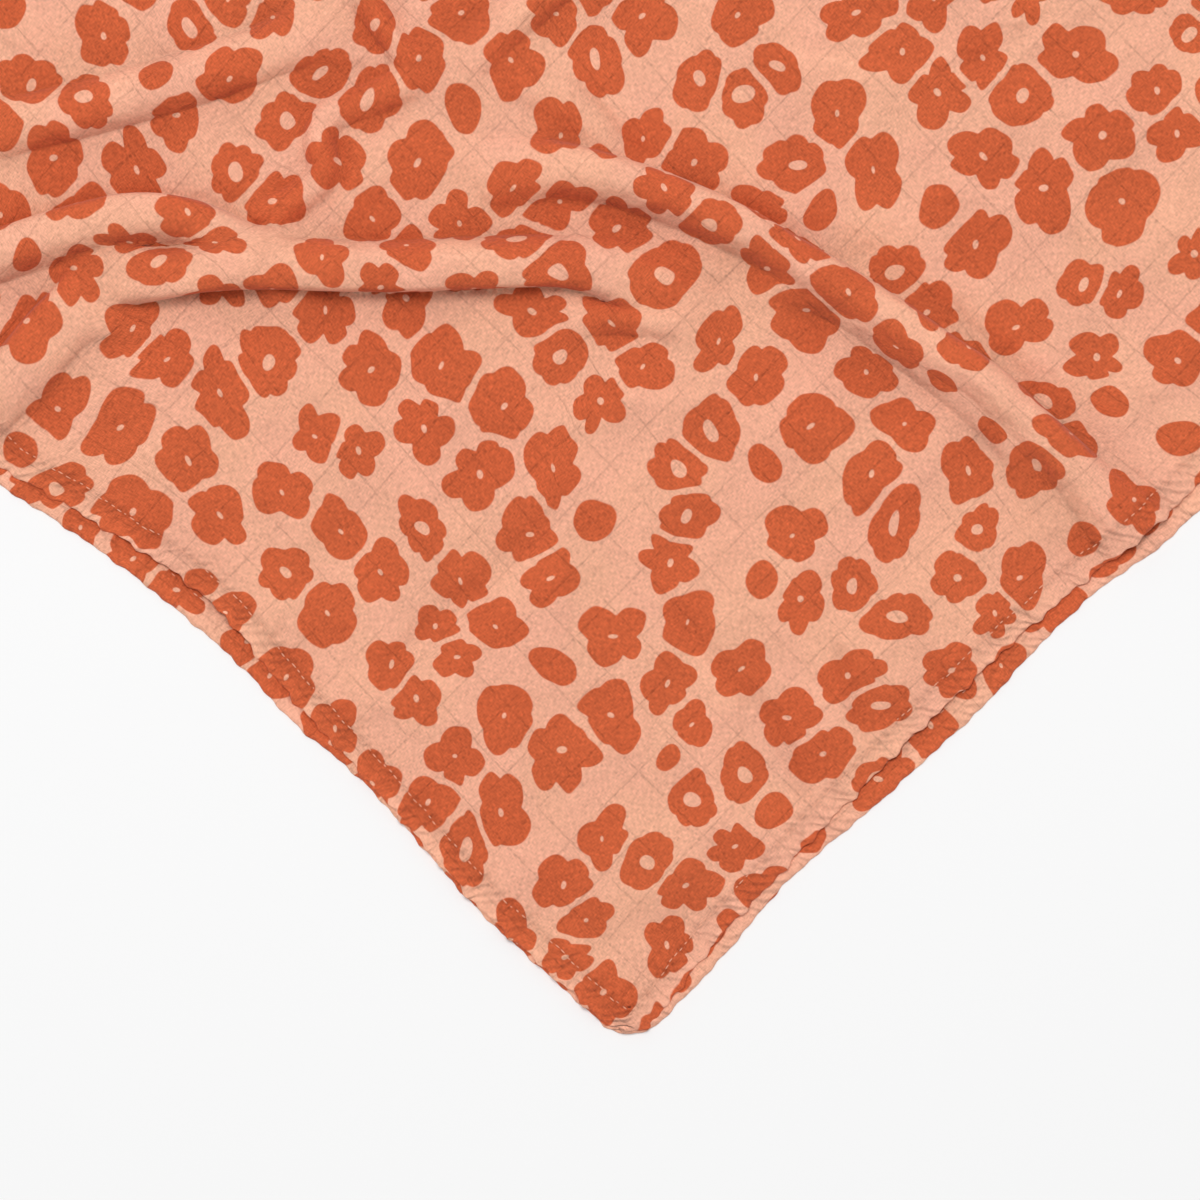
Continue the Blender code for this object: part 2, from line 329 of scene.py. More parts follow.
# Half widths to the left and right of the crest, height, how flat the top is (2 is round), how far the top
# is rolled over its left foot (a minus rolls right), the lengths over which the ends die away, and the crest
Fold = namedtuple("Fold", "name left right height flat roll startFade endFade crest")
folds = [
    Fold("main arc", 9.5, 10, 13.0, 2.4, 3.0, 80, 115,
         [(208, 314), (240, 286), (261, 258), (279, 218), (289, 182), (297, 150), (303, 118), (308, 80),
          (309, -40)]),
    Fold("main arc's shoulder", 9, 8, 7.0, 2.2, 0.0, 50, 90,
         [(266, 206), (279, 184), (290, 158), (295, 130), (299, 100), (300, 75), (297, 48), (290, 10)]),
    Fold("long roll", 11, 9.5, 12.5, 2.6, -5.5, 55, 70,
         [(74, 392), (104, 362), (129, 342), (175, 295), (229, 242), (250, 192)]),
    Fold("long roll's echo", 7, 7, 4.5, 2.0, 0.0, 30, 30,
         [(200, 242), (228, 213), (250, 184)]),
    Fold("corner roll", 10, 11, 12.0, 2.5, 3.5, 10, 35,
         [(-20, 450), (45, 420), (82, 403), (112, 385), (129, 365), (138, 342), (152, 316)]),
    Fold("hem roll", 15, 11, 9.5, 2.4, -3.5, 35, 10,
         [(100, 370), (66, 375), (32, 373), (-40, 376)]),
    Fold("upper roll", 11, 12, 8.5, 2.2, -2.0, 65, 40,
         [(60, 474), (134, 427), (189, 398), (238, 379)]),
    Fold("link", 7, 7, 5.0, 2.2, 0.0, 25, 25,
         [(246, 338), (215, 350), (197, 357), (187, 350), (181, 342), (167, 342), (138, 350)]),
    Fold("short pleat", 6, 6, 5.5, 2.2, 0.0, 20, 20,
         [(252, 402), (239, 367), (237, 338)]),
    Fold("top pleat", 11, 9, 5.0, 2.2, 0.0, 30, 50,
         [(232, 336), (264, 333), (330, 334), (440, 376), (690, 476)]),
    Fold("back sweep", 14, 14, 8.0, 2.6, 2.0, 120, 60,
         [(530, 452), (640, 476), (760, 520), (850, 560)]),
    Fold("middle sweep", 13, 13, 9.5, 2.8, 3.0, 40, 10,
         [(838, 556), (768, 410), (720, 230), (726, -40)]),
    Fold("middle echo", 12, 12, 5.0, 2.2, 0.0, 90, 90,
         [(700, 400), (640, 290), (560, 200), (470, 140)]),
    Fold("front wave", 14, 14, 6.0, 2.2, 0.0, 10, 120,
         [(505, -40), (512, 60), (540, 150), (600, 250)]),
    Fold("end sweep", 13, 13, 9.5, 2.8, -3.0, 40, 10,
         [(872, 556), (930, 430), (1020, 312), (1240, 226)]),
    Fold("end echo", 11, 11, 5.0, 2.2, 0.0, 70, 10,
         [(930, 300), (985, 190), (1010, 70), (1006, -40)]),
    Fold("back corner wave", 14, 14, 6.5, 2.4, 2.0, 90, 10,
         [(930, 520), (1020, 470), (1120, 452), (1240, 456)]),
]

# Small creases, as soft troughs (a minus) and ridges
Crease = namedtuple("Crease", "halfWidth height startFade endFade line")
creases = [
    Crease(10, -1.0, 30, 30, [(96, 339), (128, 308), (155, 285), (191, 253)]),
    Crease(5, -1.7, 12, 16, [(233, 276), (249, 254), (256, 239), (266, 220)]),
    Crease(5, -1.7, 12, 16, [(240, 241), (251, 222), (257, 206), (268, 192)]),
    Crease(5, -0.9, 12, 16, [(213, 222), (224, 207), (233, 190)]),
    Crease(9, -1.2, 16, 12, [(296, 78), (293, 56), (286, 39), (282, 22)]),
    Crease(9, -2.2, 30, 30, [(303, 190), (312, 159), (318, 121), (321, 95), (320, 68)]),
    Crease(7, -2.2, 40, 50, [(170, 179), (141, 182), (110, 182), (85, 186), (34, 183)]),
    Crease(6, -2.0, 20, 16, [(157, 128), (155, 105), (154, 84), (153, 57), (143, 36), (140, 20)]),
    Crease(6, -2.1, 16, 12, [(195, 74), (186, 51), (175, 30)]),
    Crease(13, -2.0, 20, 20, [(34, 64), (44, 50), (58, 42), (70, 33), (92, 22)]),
    Crease(6, -1.2, 20, 20, [(331, 266), (350, 244), (370, 218), (387, 191)]),
    Crease(6, -1.4, 16, 10, [(374, 197), (401, 189), (427, 183), (455, 177)]),
    Crease(6, -1.1, 16, 10, [(384, 178), (402, 174), (425, 173), (450, 168)]),
    Crease(8, -1.1, 30, 30, [(366, 140), (373, 110), (377, 60)]),
    Crease(5, -1.4, 12, 12, [(212, 367), (221, 362), (225, 352)]),
    Crease(5, -1.2, 12, 12, [(230, 376), (235, 359), (235, 351)]),
    Crease(6, -1.7, 16, 12, [(252, 316), (258, 299), (261, 283), (267, 270)]),
    Crease(5, -1.8, 12, 12, [(276, 304), (276, 282), (275, 265), (281, 250)]),
    Crease(5, -0.9, 10, 12, [(214, 295), (224, 279), (234, 266)]),
    Crease(6, -0.9, 16, 20, [(120, 478), (138, 449), (156, 426)]),
    Crease(5, -1.2, 10, 20, [(199, 356), (191, 343), (180, 334), (153, 337)]),
    Crease(5, -1.1, 12, 12, [(196, 343), (219, 338), (240, 336)]),
    Crease(6, -0.9, 14, 16, [(36, 334), (65, 325), (88, 320)]),
    Crease(4, -0.8, 10, 10, [(146, 270), (160, 272), (172, 269)]),
    Crease(8, 1.1, 30, 40, [(325, 274), (361, 224), (399, 178), (440, 150)]),
    Crease(7, -0.9, 30, 30, [(176, 150), (214, 118), (252, 105)]),
    Crease(7, 0.9, 30, 20, [(150, 226), (196, 196), (236, 160)]),
    Crease(7, 0.8, 20, 20, [(60, 250), (96, 262), (140, 258)]),
]

rumple = {
    "seed": 4,
    "waves": 20,
    "shortest": 0.030,  # from one wave to the next
    "longest": 0.110,
    "height": 0.0022,
    "calmBand": 0.006,  # how far in from the edge there are none, and over what length they begin
    "calmReach": 0.035,
}
relief = {  # the map of how the folds stand out from the cloth round them, which places painted shade in hollows and a painted highlight on crests
    "step": 0.0030,
    "blur": 0.0080,  # how widely the cloth round a place counts
    "full": 0.0030,  # so much higher or lower counts as nearly a full crest or hollow
    "lastCell": 1.001,  # read from this far before the map's end, so that there is always a next value
}
hemPucker = {
    "seed": 16,
    "lengths": (5.1, 7.9, 12.7, 21.0),  # mm from one pucker to the next
    "apart": 2.0,  # metres between the three hems along these waves, so that each hem has its own
    "height": 0.00150,
    "inward": 0.014,  # how far in from the stitches the puckers run out
    "edgeCalm": 0.40,  # how much less the edge itself rises and falls
    "swayLengths": (7.9, 12.7, 21.0),
    "swaySeeds": {"upper": (12, 22, 32), "under": (13, 23, 33)},  # for the left, right and front edges
    "sway": {"upper": (0.0014, 0.0012), "under": (0.0007, 0.0006)},  # of the side and front edges
    "liftSeed": 11,
    "lift": 0.0008,  # of the upper hem's slow waves
    "liftLengths": (24, 41, 67),
    "liftReach": 0.030,
    "plumpSeed": 14,
    "plumpness": 0.30,  # how unevenly thick the hem is along it
    "pinch": 0.45,  # how far the stitches press the cloth together, and how wide
    "pinchWidth": 0.0009,
}
meshSteps = {
    "shownMargin": 0.012,  # how far past the picture's edge the mesh stays fine
    "frontShownTo": 0.37,  # how far along the front hems, and along the sides, it does so at the rim
    "sideShownTo": 0.38,
    "rimShown": 0.0019,  # from point to point along the rim and the hems, in view and out of it
    "rim": 0.0060,
    "hemLines": (0.0007, 0.0022, 0.0042, 0.0062, 0.0080, 0.0092, 0.0101, 0.0114, 0.0138),  # in from the edge
    "underLines": (0.0007, 0.0022, 0.0046, 0.0072, 0.0092, 0.0104),
    "cornerShare": 0.9,  # how near a corner such a line ends, as a share of its distance from the hem
    "hemBendClear": 0.001,  # how near the back fold it ends
    "foldAlongShown": 0.0042,  # along a fold, and its rows as shares of its half width
    "foldAlong": 0.0090,
    "foldShares": (0.0, 0.22, 0.42, 0.57, 0.69, 0.79, 0.87, 0.94, 1.0, 1.08),
    "foldSharesFar": (0.0, 0.35, 0.58, 0.74, 0.87, 1.0),
    "creaseAlong": 0.0032,
    "creaseShares": (0.0, 0.33, 0.66, 1.0),
    "rimClear": 0.0005,  # how near the rim and the back fold other points may lie
    "bendClear": 0.002,
    "openShown": 0.0042,  # in the open cloth of the upper layer, and of the lower one
    "open": 0.0110,
    "underOpen": 0.0300,
    "openEnds": (0.4, 0.3),  # of a step, left free at the sides
    "bend": 8,  # steps round the back fold, and the distance of its points along it
    "bendAlong": 0.0090,
    "bendEnds": 0.004,  # left free at the sides
    "bendEased": (0.12, 0.3, 0.5, 0.75, 1.0),  # of bendEase, where the rows in front of the back fold lie
    "clear": {  # how near to others a point of each kind may lie
        "hem": 0.0006,
        "bend": 0.0009,
        "foldShown": 0.0010,
        "fold": 0.0026,
        "crease": 0.0012,
        "openShown": 0.0026,
        "open": 0.0060,
        "underOpen": 0.0100,
    },
    "placingRounds": 8,  # in which a place over the blanket is found on the straight sheet
    "sameWithin": 1e-7,  # points nearer than this are one
}

bendHalf = math.pi * blanket["bendRadius"] / 2  # half of the cloth that goes round the back fold
bendStart = blanket["depth"] - blanket["backInset"] - blanket["bendRadius"]
lowX = blanket["inset"]["left"]
highX = blanket["length"] - blanket["inset"]["right"]
frontY = blanket["inset"]["front"]
reach = bendHalf + bendStart - frontY  # of the cloth from the back fold's middle to a front hem


def smoothStep(t):
    t = np.clip(t, 0.0, 1.0)
    return t * t * (3.0 - 2.0 * t)


def waver(along, seed, lengths):
    # an uneven wave about 0, within -1 and 1, along a line in metres
    draw = np.random.default_rng(seed)
    phases = draw.uniform(0.0, 2.0 * math.pi, len(lengths))
    waves = [np.sin(2.0 * math.pi * along / (length * mm) + phase) for length, phase in zip(lengths, phases)]
    return sum(waves) / len(lengths)


def edgeInset(table, layer, along):
    # how far in a layer's edge lies, read from its table as a mean over a short stretch
    marks = [row.along * mm for row in table]
    insets = [getattr(row, layer) * mm for row in table]
    places = [along + share * blanket["edgeSmoothing"] for share in (-1.0, -0.5, 0.0, 0.5, 1.0)]
    return np.mean([np.interp(place, marks, insets) for place in places], axis=0)


def nearEdge(distance):
    # how much of an edge's unevenness is felt at a distance from it
    return np.clip(1.0 - distance / blanket["edgeReach"], 0.0, 1.0) ** 2


def roundCorner(fromSide, fromFront):
    # the distances from two edges, moved so that a square corner becomes a quarter of a disc
    radius = blanket["cornerRadius"]
    a = np.clip(1.0 - fromSide / radius, 0.0, 1.0)
    b = np.clip(1.0 - fromFront / radius, 0.0, 1.0)
    inCorner = (a > 0.0) & (b > 0.0)
    side = radius * (1.0 - a * np.sqrt(1.0 - b * b / 2.0))
    front = radius * (1.0 - b * np.sqrt(1.0 - a * a / 2.0))
    return np.where(inCorner, side, fromSide), np.where(inCorner, front, fromFront)


def laidOut(u, v, layer):
    # where a point of the straight sheet lies, seen from above
    left, right, front, back = u - lowX, highX - u, v - frontY, bendStart - v
    leftRound, frontLeft = roundCorner(left, front)
    rightRound, frontRight = roundCorner(right, front)
    x = u + (leftRound - left) - (rightRound - right)
    y = v + (frontLeft - front) + (frontRight - front)
    x = x + (edgeInset(leftEdge, layer, v) - blanket["inset"]["left"]) * nearEdge(left)
    x = x - (edgeInset(rightEdge, layer, v) - blanket["inset"]["right"]) * nearEdge(right)
    y = y + (edgeInset(frontEdge, layer, u) - blanket["inset"]["front"]) * nearEdge(front)
    y = y - edgeInset(backFold, layer, u) * nearEdge(back)
    leftSeed, rightSeed, frontSeed = hemPucker["swaySeeds"][layer]
    atSide, atFront = hemPucker["sway"][layer]
    lengths = hemPucker["swayLengths"]
    band = blanket["hemWidth"]
    x = x + atSide * waver(v, leftSeed, lengths) * (1.0 - smoothStep(left / band))
    x = x + atSide * waver(v, rightSeed, lengths) * (1.0 - smoothStep(right / band))
    y = y + atFront * waver(u, frontSeed, lengths) * (1.0 - smoothStep(front / band))
    return x, y


def onStraightSheet(x, y, layer):
    # the other way round: the point of the straight sheet that lies at a place seen from above
    u, v = x.copy(), y.copy()
    for _ in range(meshSteps["placingRounds"]):
        laidX, laidY = laidOut(u, v, layer)
        u, v = u + x - laidX, v + y - laidY
    return u, v


def fromHems(u, v):
    # the distances to the nearest side edge and to the front edge
    return np.minimum(u - lowX, highX - u), v - frontY


def hemWaves(u, v, seed, lengths, strength):
    # uneven waves along the free hems, as strong as a rule says for a distance from the edge
    apart = hemPucker["apart"]
    hems = ((u - lowX, v), (highX - u, v + apart), (v - frontY, u + 2 * apart))
    return sum(strength(distance) * waver(along, seed, lengths) for distance, along in hems)


def smoothPath(points, step):
    # places close together on a smooth line through points given in millimetres
    knots = np.array(points, float) * mm
    knots = np.vstack([2 * knots[0] - knots[1], knots, 2 * knots[-1] - knots[-2]])
    found = []
    for a, b, c, d in zip(knots, knots[1:], knots[2:], knots[3:]):
        count = max(2, round(math.dist(b, c) / step))
        for t in np.arange(count) / count:
            curve = 2 * b + (c - a) * t + (2 * a - 5 * b + 4 * c - d) * t**2 + (3 * b - a - 3 * c + d) * t**3
            found.append(curve / 2)
    found.append(knots[-2])
    return np.array(found)


def acrossPath(path, x, y):
    # for places: the distance to the left of a path, how far along it, the way to its left, and the same
    # way as a mean over the stretches near each place, so that it turns slowly inside a bend
    starts, runs = path[:-1], np.diff(path, axis=0)
    lengths = np.linalg.norm(runs, axis=1)
    passed = np.concatenate([[0.0], np.cumsum(lengths)[:-1]])
    left = np.stack([-runs[:, 1], runs[:, 0]], axis=-1) / lengths[:, None]
    fromX = x[:, None] - starts[:, 0]
    fromY = y[:, None] - starts[:, 1]
    share = np.clip((fromX * runs[:, 0] + fromY * runs[:, 1]) / lengths**2, 0.0, 1.0)
    awayX = fromX - share * runs[:, 0]
    awayY = fromY - share * runs[:, 1]
    distance = np.hypot(awayX, awayY)
    best = distance.argmin(axis=1)
    rows = np.arange(len(best))
    side = np.sign(awayX[rows, best] * left[best, 0] + awayY[rows, best] * left[best, 1])
    nearest = distance[rows, best]
    nearness = np.exp((nearest[:, None] - distance) / blanket["turnSoftness"])
    slowLeft = nearness @ left / nearness.sum(axis=1)[:, None]
    return nearest * side, (passed + share * lengths)[rows, best], left[best], slowLeft


def closeTo(path, x, y, distance):
    # a quick first choice of the places that a path can matter to
    low = path.min(axis=0) - distance
    high = path.max(axis=0) + distance
    return (x > low[0]) & (x < high[0]) & (y > low[1]) & (y < high[1])


def endsOf(path, along, startFade, endFade):
    # 1 in the middle of a path, dying away to 0 at its ends
    whole = np.linalg.norm(np.diff(path, axis=0), axis=1).sum()
    return smoothStep(along / (startFade * mm)) * smoothStep((whole - along) / (endFade * mm))


def foldWidth(fold, across, ends):
    # half of a fold's width on either side, which grows where the fold dies away
    return np.where(across > 0.0, fold.left, fold.right) * mm * (1.0 + blanket["endSpread"] * (1.0 - ends))


def foldSection(fold, across, width, height):
    # where a fold carries the cloth at a distance from its crest: how far sideways, and how far up
    share = np.clip(np.abs(across) / width, 0.0, 1.0)
    up = (1.0 - share**fold.flat) ** blanket["footSoftness"]
    overSide = smoothStep(share / blanket["rollShare"]) * (np.sign(across) == np.sign(fold.roll))
    sideways = fold.roll * height / fold.height * overSide * up
    return across + sideways, height * up


def spareCloth(fold, across, width, height):
    # how much more cloth a fold takes, from its crest to a place, than the ground that it covers there
    covered = np.minimum(np.abs(across), width)
    steps = np.linspace(0.0, 1.0, blanket["sectionPoints"])[:, None]
    sideways, up = foldSection(fold, steps * covered * np.sign(across), width, height)
    run = np.hypot(np.diff(sideways, axis=0), np.diff(up, axis=0)).sum(axis=0)
    fade = 1.0 - smoothStep((np.abs(across) - width) / blanket["spareReach"])
    return (run - covered) * fade * np.sign(across)


def allFolds(x, y):
    # every fold together: height, sideways move, and the cloth taken up, at places over the blanket
    lift = np.zeros_like(x)
    moved = np.zeros((x.size, 2))
    spare = np.zeros((x.size, 2))
    power = blanket["meetingPower"]
    for number, fold in enumerate(folds):
        path = smoothPath(fold.crest, blanket["pathStep"])
        near = closeTo(path, x, y, blanket["spareReach"])
        if not near.any():
            continue
        across, along, left, slowLeft = acrossPath(path, x[near], y[near])
        ends = endsOf(path, along, fold.startFade, fold.endFade)
        width = foldWidth(fold, across, ends)
        uneven = waver(along, number, blanket["unevenLengths"])
        height = fold.height * mm * ends * (1.0 + blanket["unevenness"] * uneven)
        sideways, up = foldSection(fold, across, width, height)
        lift[near] += up**power
        moved[near] += left * (sideways - across)[:, None]
        spare[near] += slowLeft * spareCloth(fold, across, width, height)[:, None]
    lift = lift ** (1.0 / power)
    for crease in creases:
        path = smoothPath(crease.line, blanket["pathStep"])
        near = closeTo(path, x, y, crease.halfWidth * mm)
        if not near.any():
            continue
        across, along, *_ = acrossPath(path, x[near], y[near])
        share = np.clip(np.abs(across) / (crease.halfWidth * mm), 0.0, 1.0)
        ends = endsOf(path, along, crease.startFade, crease.endFade)
        lift[near] += crease.height * mm * ends * (1.0 - share**2) ** 2
    return lift, moved, spare


def liftRoundAbout():
    # a map of how high the folds lift the cloth on average round each place
    step, blur = relief["step"], relief["blur"]
    columns, rows = (np.arange(0.0, blanket[side] + step, step) for side in ("length", "depth"))
    x, y = np.meshgrid(columns, rows)
    lift = allFolds(x.ravel(), y.ravel())[0].reshape(x.shape)
    offsets = np.arange(-round(3 * blur / step), round(3 * blur / step) + 1) * step
    weights = np.exp(-((offsets / blur) ** 2) / 2)
    weights /= weights.sum()
    for axis in (0, 1):
        lift = np.apply_along_axis(np.convolve, axis, lift, weights, mode="same")
    return lift


def foldRelief(lift, x, y):
    # from -1 in a hollow between folds to 1 on a crest, at places where the folds lift the cloth so far
    column = np.clip(x / relief["step"], 0.0, meanLift.shape[1] - relief["lastCell"])
    row = np.clip(y / relief["step"], 0.0, meanLift.shape[0] - relief["lastCell"])
    left, low = column.astype(int), row.astype(int)
    byColumn, byRow = column - left, row - low
    lower = meanLift[low, left] * (1.0 - byColumn) + meanLift[low, left + 1] * byColumn
    higher = meanLift[low + 1, left] * (1.0 - byColumn) + meanLift[low + 1, left + 1] * byColumn
    return np.tanh((lift - lower * (1.0 - byRow) - higher * byRow) / relief["full"])


def rumpled(x, y):
    # slow, shallow waves of cloth that was never pressed, never below 0 or above their height
    draw = np.random.default_rng(rumple["seed"])
    total = np.zeros_like(x)
    for _ in range(rumple["waves"]):
        length = draw.uniform(rumple["shortest"], rumple["longest"])
        turn = draw.uniform(0.0, math.pi)
        phase = draw.uniform(0.0, 2.0 * math.pi)
        total += np.sin(2.0 * math.pi * (x * math.cos(turn) + y * math.sin(turn)) / length + phase)
    return rumple["height"] * (0.5 + 0.5 * np.tanh(total / math.sqrt(rumple["waves"])))


def puckered(u, v):
    # small waves across the hem's stitches, strongest at the stitches and dying away inwards
    band = blanket["hemWidth"]

    def atSeam(distance):
        inside = 1.0 - smoothStep((distance - band) / hemPucker["inward"])
        return inside * (1.0 - hemPucker["edgeCalm"] * np.clip(1.0 - distance / band, 0.0, 1.0))

    return hemPucker["height"] * hemWaves(u, v, hemPucker["seed"], hemPucker["lengths"], atSeam)


def hemLift(u, v):
    # slow waves of the upper hem, up from the layer below: half of the lift is even and half comes and goes
    def nearHem(distance):
        return 1.0 - smoothStep(distance / hemPucker["liftReach"])

    slow = hemWaves(u, v, hemPucker["liftSeed"], hemPucker["liftLengths"], nearHem)
    return hemPucker["lift"] * (0.5 * nearHem(np.minimum(*fromHems(u, v))) + 0.5 * slow)


def upperLayer(u, v):
    # places of the upper layer, where its cloth lies in the flat sheet, and how the folds stand out
    x, y = laidOut(u, v, "upper")
    lift, moved, spare = allFolds(x, y)
    distance = np.minimum(*fromHems(u, v))
    bendTop = blanket["thickness"] / 2 + 2 * blanket["bendRadius"]
    settled = smoothStep((bendStart - v) / blanket["bendEase"])
    atHem = 1.0 - smoothStep((distance - blanket["hemWidth"]) / rumple["calmBand"])
    droop = blanket["hemDroop"] * (1.0 - smoothStep(distance / blanket["hemWidth"]))
    base = blanket["upperHeight"] + blanket["hemRise"] * atHem - droop + puckered(u, v) + hemLift(u, v)
    base = base + rumpled(x, y) * smoothStep((distance - rumple["calmBand"]) / rumple["calmReach"])
    z = base * settled + bendTop * (1.0 - settled) + lift * settled
    placed = np.stack([x + moved[:, 0] * settled, y + moved[:, 1] * settled, z], axis=-1)
    return placed, spare * settled[:, None], foldRelief(lift, x, y) * settled


def wallThickness(u, v):
    # the gauze, the doubled hem with its rounded edge, and the line of stitches that pinches it
    distance = np.minimum(*fromHems(u, v))
    band = blanket["hemWidth"]

    def inBand(distance):
        return smoothStep((band + blanket["hemPast"] - distance) / blanket["hemFade"])

    rounding = np.sqrt(np.clip(distance / blanket["edgeRounding"], 0.0, 1.0))
    rounded = blanket["edgeShare"] + (1.0 - blanket["edgeShare"]) * rounding
    pinch = 1.0 - hemPucker["pinch"] * np.exp(-(((distance - band) / hemPucker["pinchWidth"]) ** 2))
    waves = hemWaves(u, v, hemPucker["plumpSeed"], hemPucker["lengths"], inBand)
    plump = 1.0 + hemPucker["plumpness"] * waves
    thin = blanket["thickness"]
    return (thin + (blanket["hemThickness"] - thin) * inBand(distance) * plump) * rounded * pinch


def foldedSheet(u, w):
    # w runs across the whole sheet: upper free hem, back fold at 0, lower free hem. What comes back for each
    # point is its place, where its cloth lies in the flat sheet, its thickness, whether it is in the lower
    # layer, and how the folds stand out there
    v = bendStart - (np.abs(w) - bendHalf)
    thick = wallThickness(u, v)
    upper = w < -bendHalf
    under = w > bendHalf
    bent = ~upper & ~under
    placed = np.zeros((u.size, 3))
    standing = np.zeros(u.size)
    flat = np.stack([u, w], axis=-1)
    placed[upper], spare, standing[upper] = upperLayer(u[upper], v[upper])
    flat[upper] += spare
    placed[under, 0], placed[under, 1] = laidOut(u[under], v[under], "under")
    placed[under, 2] = thick[under] / 2
    x, y = laidOut(u[bent], np.full(bent.sum(), bendStart), "upper")
    angle = w[bent] / blanket["bendRadius"]
    placed[bent, 0] = x
    placed[bent, 1] = y + blanket["bendRadius"] * np.cos(angle)
    below = 0.5 + 0.5 * np.sin(angle)
    resting = blanket["thickness"] + (thick[bent] - blanket["thickness"]) * below
    placed[bent, 2] = resting / 2 + blanket["bendRadius"] * (1.0 - np.sin(angle))
    placed -= [blanket["length"] / 2, blanket["depth"] / 2, 0.0]
    return placed, flat, thick, under, standing


meanLift = liftRoundAbout()
print("folds mapped")


# The points of the flat sheet that make its mesh: fine along hems and folds, coarse where it lies plain


def stations(low, high, shownTo, fine, coarse):
    # places along a side, close together up to the end of what shows
    shownTo = min(max(shownTo, low), high)
    near = np.linspace(low, shownTo, max(2, round((shownTo - low) / fine) + 1))
    far = np.linspace(shownTo, high, max(2, round((high - shownTo) / coarse) + 1))
    return np.concatenate([near, far[1:]]) if high > shownTo else near


def layerStations():
    # stations along the front hems, and along the sides from front to back
    fine, coarse = meshSteps["rimShown"], meshSteps["rim"]
    fronts = stations(lowX, highX, meshSteps["frontShownTo"], fine, coarse)
    sides = stations(frontY, bendStart, meshSteps["sideShownTo"], fine, coarse)
    return fronts, sides


def toSheet(v, upper):
    # from the distance over the blanket to the sheet's own coordinate
    w = bendHalf + bendStart - v
    return -w if upper else w


def rimPoints():
    # once round the whole sheet, in order
    fronts, sides = layerStations()
    bends = np.linspace(-bendHalf, bendHalf, meshSteps["bend"] + 1)[1:-1]
    upward = np.concatenate([toSheet(sides, True), bends, toSheet(sides[::-1], False)])
    points = [(u, -reach) for u in fronts[:-1]] + [(highX, w) for w in upward[:-1]]
    points += [(u, reach) for u in fronts[:0:-1]] + [(lowX, w) for w in upward[:0:-1]]
    return points


def hemPoints(upper):
    # lines of points beside the free hems of one layer
    fronts, sides = layerStations()
    lines = meshSteps["hemLines"] if upper else meshSteps["underLines"]
    found = []
    for line in lines:
        clear = line * meshSteps["cornerShare"]
        front = fronts[(fronts > lowX + clear) & (fronts < highX - clear)]
        side = sides[(sides > frontY + clear) & (sides < bendStart - meshSteps["hemBendClear"])]
        found.append(np.stack([front, np.full(front.size, toSheet(frontY + line, upper))], axis=-1))
        for x in (lowX + line, highX - line):
            found.append(np.stack([np.full(side.size, x), toSheet(side, upper)], axis=-1))
    return np.vstack(found)


def linePoints(points, step, offsets, shown):
    # rows of points beside a line, at distances to its left
    path = smoothPath(points, step)
    runs = np.gradient(path, axis=0)
    left = np.stack([-runs[:, 1], runs[:, 0]], axis=-1) / np.linalg.norm(runs, axis=1)[:, None]
    found = []
    for offset in offsets:
        side = path + left * offset
        keep = inView(side[:, 0], side[:, 1]) == shown
        u, v = onStraightSheet(side[keep, 0], side[keep, 1], "upper")
        found.append(np.stack([u, v], axis=-1))
    found = np.vstack(found)
    clear = meshSteps["rimClear"]
    keep = (found[:, 0] > lowX + clear) & (found[:, 0] < highX - clear)
    keep &= (found[:, 1] > frontY + clear) & (found[:, 1] < bendStart - meshSteps["bendClear"])
    found = found[keep]
    return np.stack([found[:, 0], toSheet(found[:, 1], True)], axis=-1)


def foldPoints(fold, shown):
    # closer where the fold's side is steep
    shares = meshSteps["foldShares"] if shown else meshSteps["foldSharesFar"]
    offsets = [share * width * mm for share in shares for width in (fold.left, -fold.right)]
    return linePoints(fold.crest, meshSteps["foldAlongShown" if shown else "foldAlong"], offsets, shown)


def creasePoints(crease):
    shares = meshSteps["creaseShares"]
    offsets = [side * share * crease.halfWidth * mm for share in shares for side in (1, -1)]
    return linePoints(crease.line, meshSteps["creaseAlong"], offsets, True)


def openPoints(step, upper, shown=None):
    # even rows for the open cloth of one layer, every other row moved along by half a step
    rowStep = step * math.sqrt(3.0) / 2.0
    atStart, atEnd = meshSteps["openEnds"]
    vs = np.arange(frontY + rowStep / 2, bendStart - meshSteps["bendClear"], rowStep)
    found = []
    for row, v in enumerate(vs):
        us = np.arange(lowX + step * (atStart + 0.5 * (row % 2)), highX - step * atEnd, step)
        found.append(np.stack([us, np.full(us.size, v)], axis=-1))
    found = np.vstack(found)
    if shown is not None:
        found = found[inView(found[:, 0], found[:, 1]) == shown]
    return np.stack([found[:, 0], toSheet(found[:, 1], upper)], axis=-1)


def bendPoints():
    # rows round the back fold, and where the upper layer settles in front of it
    ends = meshSteps["bendEnds"]
    along = np.arange(lowX + ends, highX - ends, meshSteps["bendAlong"])
    rows = np.linspace(-bendHalf, bendHalf, meshSteps["bend"] + 1)
    eased = -bendHalf - blanket["bendEase"] * np.array(meshSteps["bendEased"])
    return np.array([(u, w) for w in np.concatenate([rows, eased]) for u in along])


def addClear(points, group, clearance):
    # adds the points of a group that keep clear of those that were there before it
    tree = kdtree.KDTree(len(points))
    for index, point in enumerate(points):
        tree.insert((point[0], point[1], 0.0), index)
    tree.balance()
    points.extend((u, w) for u, w in group if tree.find((u, w, 0.0))[2] > clearance)


